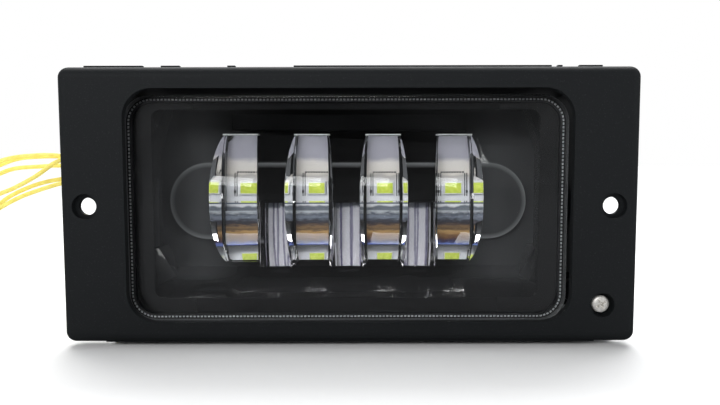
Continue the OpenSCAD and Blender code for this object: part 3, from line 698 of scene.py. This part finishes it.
def bare_strands(name, tip, away):
    """Seven twisted wires that stand out of a lead's end."""
    side = away.cross(Vector((0, 0, 1))).normalized()
    up = side.cross(away).normalized()
    wire, turns, steps, ring = 0.00016, 1.6, 28, 8
    meshes = []
    for strand in range(7):
        spread = 0.0 if strand == 0 else 2.05 * wire
        phase = 2 * math.pi * strand / 6
        rings = []
        for i in range(steps + 1):
            t = i / steps
            a = phase + 2 * math.pi * turns * t
            middle = tip + away * (BARE_LENGTH * t - 0.0004 * (1 - t))
            middle = middle + spread * (math.cos(a) * side + math.sin(a) * up)
            rings.append([middle + wire * (math.cos(b) * side + math.sin(b) * up)
                          for b in (2 * math.pi * k / ring for k in range(ring))])
        meshes.append(loft(name, rings))
    return joined(name, meshes)


def add_leads(looks):
    ends = []
    paths = [route(LEAD_1), route(LEAD_2)]
    for k, path in enumerate(paths, 1):
        piece = curve_piece(f"lead_insulation_{k}", path, LEAD_WIDTH, "lamp_unit", looks["yellow"])
        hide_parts(f"lead_{k}")
        ends.append(bare_strands(f"strands_{k}", path[-1], (path[-1] - path[-2]).normalized()))
    strands = add_piece("bare_ends", joined("bare_ends", ends), "lamp_unit", looks["copper"],
                        35, ("lead_ends",))
    tie = add_tie(looks)


def add_tie(looks):
    """A ribbed strap round the six strands, with its lock and a cut tail."""
    low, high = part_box("cable_tie")
    x, wide = (low.x + high.x) / 2, 0.0032
    y, z = FACE_Y + 0.0481, 0.05505 + REST_GAP
    thick = 0.001
    around = outline(0.0088 - thick, 0.0068 - thick, 0.0013, y, z, 6)
    rings = []
    for k, (py, pz) in enumerate(around):
        away = Vector((0, py - y, pz - z)).normalized()
        rib = 0.00012 if k % 2 else 0.0
        across = [(-wide / 2, -thick / 2), (-wide / 2, thick / 2), (-wide / 4, thick / 2 + rib),
                  (wide / 4, thick / 2 + rib), (wide / 2, thick / 2), (wide / 2, -thick / 2)]
        rings.append([Vector((x + aside, py, pz)) + away * out for aside, out in across])
    strap = loft("strap", rings, loop=True)
    head_low = Vector((x - wide / 2 - 0.0005, y - 0.0025, z + 0.0031))
    head_high = Vector((x + wide / 2 + 0.0005, y + 0.0025, high.z))
    lock = box_mesh("lock", head_low, head_high, 0.0004, 2)
    tail_low = Vector((x - wide / 2 + 0.0003, y - 0.0042, z + 0.0044))
    tail = box_mesh("tail", tail_low, tail_low + Vector((wide - 0.0006, 0.003, 0.0009)), 0.0002, 1)
    return add_piece("cable_tie_strap", joined("cable_tie_strap", [strap, lock, tail]), "lamp_unit",
                     looks["tie"], 35, ("cable_tie",))


# ---------------------------------------------------------------- glass and lenses

def add_front_glass(looks):
    """The pane with its rounded front edge, the knurl behind it and the ground ring round its side."""
    low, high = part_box("front_glass")
    w, h = high.x - low.x, high.z - low.z
    x, z = (low.x + high.x) / 2, (low.z + high.z) / 2
    radius, round_edge, back_edge, steps = 0.009, 0.0008, 0.0003, 5

    def ring(inset, y):
        points = outline(w - 2 * inset, h - 2 * inset, radius - inset, x, z)
        return [Vector((px, y, pz)) for px, pz in points]

    rings = []
    for k in range(steps + 1):
        a = math.radians(90 * k / steps)
        rings.append(ring(round_edge * (1 - math.sin(a)), low.y + round_edge * (1 - math.cos(a))))
    rings += [ring(0, high.y - back_edge), ring(back_edge, high.y)]
    add_piece("front_glass_pane", loft("front_glass_pane", rings), "lamp_unit", looks["glass"],
              30, ("front_glass",))
    add_knurl(looks, x, z, w, h, high.y, radius)
    outer, inner, back = 0.0001, 0.0008, high.y - 0.0004
    rings = [ring(outer, low.y + 0.001), ring(outer, back), ring(inner, back), ring(inner, back - 0.0004)]
    add_piece("glass_ground_edge", loft("glass_ground_edge", rings, loop=True), "lamp_unit", looks["ground"],
              30)


def along_outline(points, pitch):
    """Evenly spaced places round a closed outline, each with its direction."""
    closed = [Vector((p[0], 0, p[1])) for p in points]
    closed.append(closed[0])
    total = run_length(closed)
    count = round(total / pitch)
    places, walked, i = [], 0.0, 0
    for k in range(count):
        want = total * k / count
        while walked + (closed[i + 1] - closed[i]).length < want:
            walked += (closed[i + 1] - closed[i]).length
            i += 1
        step = closed[i + 1] - closed[i]
        places.append((closed[i] + step.normalized() * (want - walked), step.normalized()))
    return places


def add_knurl(looks, x, z, w, h, y, radius):
    """A bonding rib of small pyramids, sunk into the back of the glass near its edge."""
    inset, pitch, tall, sunk, half = 0.0015, 0.0012, 0.0003, 0.0003, 0.00036
    line = outline(w - 2 * inset, h - 2 * inset, radius - inset, x, z)
    bm = bmesh.new()
    for place, along in along_outline(line, pitch):
        across = Vector((-along.z, 0, along.x))
        corners = [place + half * (sa * along + 0.8 * sb * across) for sa, sb in SQUARE]
        base = [bm.verts.new((c.x, y - sunk, c.z)) for c in corners]
        top = [bm.verts.new((place.x + 0.35 * (c.x - place.x), y + tall, place.z + 0.35 * (c.z - place.z)))
               for c in corners]
        bm.faces.new(base)
        bm.faces.new(top)
        for k in range(4):
            bm.faces.new((base[k], base[(k + 1) % 4], top[(k + 1) % 4], top[k]))
    mesh = bpy.data.meshes.new("glass_edge_knurl")
    bm.to_mesh(mesh)
    bm.free()
    add_piece("glass_edge_knurl", mesh, "lamp_unit", looks["knurl"], 20)


def lens_ring(x, z, front, back, half_front, half_back, taper_from, groove=0.0, flutes=0):
    """One level of a lens, as seen from above: rounded front, sides that close in, flat or fluted back."""
    bevel = min(0.0004, (back - front) / 3)

    def half_at(y):
        if y <= taper_from:
            return half_front
        return half_front + (half_back - half_front) * (y - taper_from) / (back - taper_from)

    ring = []
    for y, inward in ((front, bevel), (front + bevel * 0.3, bevel * 0.3), (front + bevel, 0.0)):
        ring.append(Vector((x - half_at(y) + inward, y + groove, z)))
    ring.append(Vector((x - half_at(back - bevel), back - bevel, z)))
    ring.append(Vector((x - half_back + bevel, back, z)))
    for k in range(1, flutes):
        place = x - half_back + 2 * half_back * k / flutes
        ring.append(Vector((place, back - (0.00025 if k % 2 else 0.0), z)))
    ring.append(Vector((x + half_back - bevel, back, z)))
    ring.append(Vector((x + half_at(back - bevel), back - bevel, z)))
    for y, inward in ((front + bevel, 0.0), (front + bevel * 0.3, bevel * 0.3), (front, bevel)):
        ring.append(Vector((x + half_at(y) - inward, y + groove, z)))
    return ring


def add_tall_lens(looks, k):
    """A lens with a round front, a seam across it and a ground flange on top."""
    low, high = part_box(f"lens_block_{k}")
    x, mid = (low.x + high.x) / 2, (low.z + high.z) / 2
    half_height = (high.z - low.z) / 2
    radius = 0.025
    center_y = low.y + radius
    half_front, half_back = (high.x - low.x) / 2, 0.0055
    seam, seam_half, seam_at = 0.0003, 0.00025, -0.0005
    flange, flange_half = 0.0005, 0.0063
    reach = math.sin(math.radians(60))
    round_levels = [round(half_height * math.sin(math.radians(a)) / reach, 7) for a in range(-60, 61, 2)]
    seam_levels = [seam_at + seam_half * step for step in range(-2, 3)]
    rings = []
    for level in sorted(set(round_levels + seam_levels)):
        level = min(level, half_height - flange - 0.00002)
        front = center_y - math.sqrt(radius ** 2 - level ** 2)
        groove = seam * max(0.0, 1 - abs(level - seam_at) / (2 * seam_half))
        rings.append(lens_ring(x, mid + level, front, high.y, half_front, half_back, low.y + 0.0012, groove))
    add_piece(f"lens_{k}", loft(f"lens_{k}", rings), "lamp_unit", looks["lens"], 28,
              (f"lens_block_{k}",))
    top_front = center_y - math.sqrt(radius ** 2 - half_height ** 2) - 0.0012
    edge = box_mesh(f"lens_flange_{k}", (x - flange_half, top_front, high.z - flange),
                    (x + flange_half, high.y, high.z), 0.0001, 1)
    add_piece(f"lens_flange_{k}", edge, "lamp_unit", looks["flange"], 28)


def add_infill_lens(looks, k):
    """A shorter lens between two tall ones, fluted at its back."""
    low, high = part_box(f"infill_lens_{k}")
    x = (low.x + high.x) / 2
    radius, crown, narrower, flutes = 0.03, high.z - 0.006, 0.0023, 16
    center_y = low.y + radius
    half_back = (high.x - low.x) / 2
    half_front = half_back - narrower
    steps = 30
    rings = []
    for i in range(steps + 1):
        z = low.z + (high.z - low.z) * i / steps
        front = center_y - math.sqrt(radius ** 2 - (z - crown) ** 2)
        half_here = half_front + (half_back - half_front) * (front - low.y) / (high.y - low.y)
        rings.append(lens_ring(x, z, front, high.y, half_here, half_back, front, 0.0, flutes))
    add_piece(f"short_lens_{k}", loft(f"short_lens_{k}", rings), "lamp_unit", looks["infill"],
              28, (f"infill_lens_{k}",))


def solids_of(node):
    """The separate solids of a CAD node, as boxes from left to right."""
    bm = bmesh.new()
    bm.from_mesh(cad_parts[node].data)
    bmesh.ops.remove_doubles(bm, verts=bm.verts, dist=0.000002)
    boxes, left = [], set(bm.verts)
    while left:
        group, queue = set(), [left.pop()]
        while queue:
            vert = queue.pop()
            group.add(vert)
            for edge in vert.link_edges:
                other = edge.other_vert(vert)
                if other in left:
                    left.remove(other)
                    queue.append(other)
        places = [v.co for v in group]
        boxes.append((Vector([min(p[i] for p in places) for i in range(3)]),
                      Vector([max(p[i] for p in places) for i in range(3)])))
    bm.free()
    return sorted(boxes, key=lambda b: (round(b[0].x, 4), b[0].z))


def add_leds(looks):
    """Each LED is a pale package with a phosphor window in its face."""
    for row in ("upper", "lower"):
        packages, windows = [], []
        for low, high in solids_of(f"{row}_leds"):
            face = low.y + 0.0001
            packages.append(box_mesh("package", Vector((low.x, face, low.z)), high, 0.00015, 1))
            margin = 0.00035
            windows.append(box_mesh("window", Vector((low.x + margin, low.y, low.z + margin)),
                                    Vector((high.x - margin, face + 0.0002, high.z - margin)), 0.0001, 2))
        add_piece(f"{row}_led_packages", joined(f"{row}_led_packages", packages), "lamp_unit",
                  looks["package"], 35, (f"{row}_leds",))
        add_piece(f"{row}_led_windows", joined(f"{row}_led_windows", windows), "lamp_unit",
                  looks["phosphor"], 35)


def add_traces(looks):
    """Dark lines and pads on the board round each upper LED."""
    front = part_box("led_board")[0].y
    thick, half_line, line_gap = 0.00004, 0.00014, 0.0006
    dashes, dash_share, dash_tall = 9, 0.66, 0.00045
    pad_wide, pad_tall = 0.0006, 0.0007
    marks = []
    for low, high in solids_of("upper_leds"):
        left, right, top = low.x - 0.0008, high.x + 0.0008, high.z + 0.002
        for x in (left, right, right + line_gap, left - line_gap):
            marks.append(((x - half_line, low.z - 0.0004), (x + half_line, top)))
        step = (right - left) / dashes
        for k in range(dashes):
            x = left + step * k
            marks.append(((x, top), (x + step * dash_share, top + dash_tall)))
        for x in (left - 0.0009, right + 0.0003):
            marks.append(((x, low.z + 0.0004), (x + pad_wide, low.z + 0.0004 + pad_tall)))
    meshes = [box_mesh("trace", (a[0], front - thick, a[1]), (b[0], front + 0.0001, b[1])) for a, b in marks]
    add_piece("board_traces", joined("board_traces", meshes), "lamp_unit", looks["chip"], 35)


def add_streaks(looks):
    """Fluted bronze strips behind the lower halves of the tall lenses."""
    strips = []
    flutes, steps = 24, 6
    for low, high in solids_of("streak_reflectors"):
        rings = []
        for i in range(steps + 1):
            z = low.z + (high.z - low.z) * i / steps
            ring = [Vector((low.x, high.y, z))]
            for k in range(flutes + 1):
                x = low.x + (high.x - low.x) * k / flutes
                ring.append(Vector((x, low.y + (0.00012 if k % 2 else 0.0), z)))
            ring.append(Vector((high.x, high.y, z)))
            rings.append(ring)
        strips.append(loft("strip", rings))
    add_piece("bronze_strips", joined("bronze_strips", strips), "lamp_unit", looks["gold"],
              60, ("streak_reflectors",))


# ---------------------------------------------------------------- screws

def cut_out(piece, cutter_mesh):
    """Takes a shape out of a piece."""
    cutter = bpy.data.objects.new("cutter", cutter_mesh)
    bpy.context.scene.collection.objects.link(cutter)
    change = piece.modifiers.new("cut", "BOOLEAN")
    change.operation = "DIFFERENCE"
    change.solver = "EXACT"
    change.object = cutter
    bpy.context.view_layer.update()
    piece.data = bpy.data.meshes.new_from_object(piece.evaluated_get(bpy.context.evaluated_depsgraph_get()))
    piece.modifiers.clear()
    bpy.data.objects.remove(cutter)
    piece.data.shade_smooth()
    piece.data.set_sharp_from_angle(angle=math.radians(35))


def slot_cutter(center, span, wide, deep, turn):
    """A tapered slot, for a screwdriver that comes from -Y."""
    a = math.radians(turn)
    along, across = Vector((math.cos(a), 0, math.sin(a))), Vector((-math.sin(a), 0, math.cos(a)))
    rings = []
    for y, grow in ((-0.0005, 1.0), (0.0, 1.0), (deep, 0.55)):
        middle = center + Vector((0, y, 0))
        rings.append([middle + grow / 2 * (sa * span * along + sb * wide * across) for sa, sb in SQUARE])
    bm = bmesh.new()
    bm.from_mesh(loft("slot", rings))
    bmesh.ops.recalc_face_normals(bm, faces=bm.faces)
    made = bpy.data.meshes.new("slot")
    bm.to_mesh(made)
    bm.free()
    return made


def thread(name, x, z, from_y, to_y, outer, root, pitch):
    """A round bar with a helical ridge."""
    per_turn = 20
    turns = (to_y - from_y) / pitch
    count = int(turns * per_turn)
    points, faces = [], []
    for i in range(count + 1):
        a = 2 * math.pi * i / per_turn
        y = from_y + pitch * i / per_turn
        for radius, shift in ((root, 0.0), (outer, 0.38), (outer, 0.5), (root, 0.88)):
            place = min(y + pitch * (shift - 0.44), to_y)
            points.append((x + radius * math.cos(a), max(place, from_y), z + radius * math.sin(a)))
    for i in range(count):
        for k in range(3):
            a = i * 4 + k
            faces.append((a, a + 1, a + 5, a + 4))
    mesh = bpy.data.meshes.new(name)
    mesh.from_pydata(points, [], faces)
    return mesh


def add_aiming_screw(looks):
    """A domed head with a cross recess, and a threaded shank."""
    low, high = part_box("adjusting_screw")
    x, z = (low.x + high.x) / 2, (low.z + high.z) / 2
    length = high.y - low.y
    head, head_thick = (high.x - low.x) / 2, 0.0016
    shank, root = 0.00175, 0.00147
    profile = [
        (0.0, 0.0004), (0.00004, 0.0012), (0.00018, head * 0.72), (0.0004, head * 0.9),
        (0.0007, head * 0.985), (0.001, head), (head_thick - 0.0001, head), (head_thick, head - 0.0001),
        (head_thick, shank - 0.0002), (length - 0.0006, shank - 0.0002), (length, shank - 0.0007),
    ]
    screw = lathe("aiming_screw", profile, (x, low.y, z), (0, 1, 0), 64)
    piece = add_piece("aiming_screw", screw, "aim_screw", looks["nickel"], 35,
                      ("adjusting_screw",))
    span, wide, deep, cross_turn = 0.0036, 0.0008, 0.001, 30
    for turn in (cross_turn, cross_turn + 90):
        cut_out(piece, slot_cutter(Vector((x, low.y + 0.0001, z)), span, wide, deep, turn))
    thread_start, thread_end, pitch = low.y + head_thick + 0.0045, high.y - 0.0006, 0.0006
    ridge = thread("aiming_screw_thread", x, z, thread_start, thread_end, shank, root, pitch)
    add_piece("aiming_screw_thread", ridge, "aim_screw", looks["nickel"], 50)


# ---------------------------------------------------------------- the CAD pieces

CAD_LOOKS = {
    "pivot_pins": "zinc", "pivot_bushes": "nylon", "glass_seal": "rubber", "led_board": "board",
    "board_screws": "zinc", "thermal_pad": "pad", "heat_spreader": "spreader", "spreader_screws": "zinc",
    "driver_board": "green", "driver_choke": "ferrite", "driver_capacitors": "can", "driver_chip": "chip",
    "inner_wires": "red", "heat_sink_gasket": "rubber", "heat_sink_screws": "zinc", "lead_grommet": "rubber",
    "breather_vent": "rubber", "screw_retainer": "zinc", "adjuster_nut": "nut", "inner_mask": "mask",
    "front_frame": "frame", "unit_housing": "housing", "heat_sink": "cast",
}


def main():
    looks = make_looks()
    add_camera()
    add_leads(looks)
    add_world()
    add_floor()
    add_overhead_sun()
    add_area_light("key", (-0.3, -1.0, 0.56), (0, 0, 0.04), (0.9, 0.3), 6.5)
    add_area_light("top_back", (0.0, 0.35, 0.8), (0, 0, 0.05), (1.2, 0.25), 4)
    add_area_light("left_strip", (-0.8, -0.55, 0.3), (0, 0, 0.04), (0.15, 0.8), 1.5)
    add_area_light("right_strip", (0.85, -0.5, 0.3), (0, 0, 0.04), (0.15, 0.8), 2)
    for node, look in CAD_LOOKS.items():
        dress(node, looks[look])
    softened("inner_mask_soft", "inner_mask", "lamp_unit", looks["mask"], 0.0007)
    add_front_glass(looks)
    for k in range(1, 5):
        add_tall_lens(looks, k)
    for k in range(1, 4):
        add_infill_lens(looks, k)
    add_leds(looks)
    add_traces(looks)
    add_streaks(looks)
    add_aiming_screw(looks)
    bpy.context.scene.view_settings.view_transform = "Standard"


main()
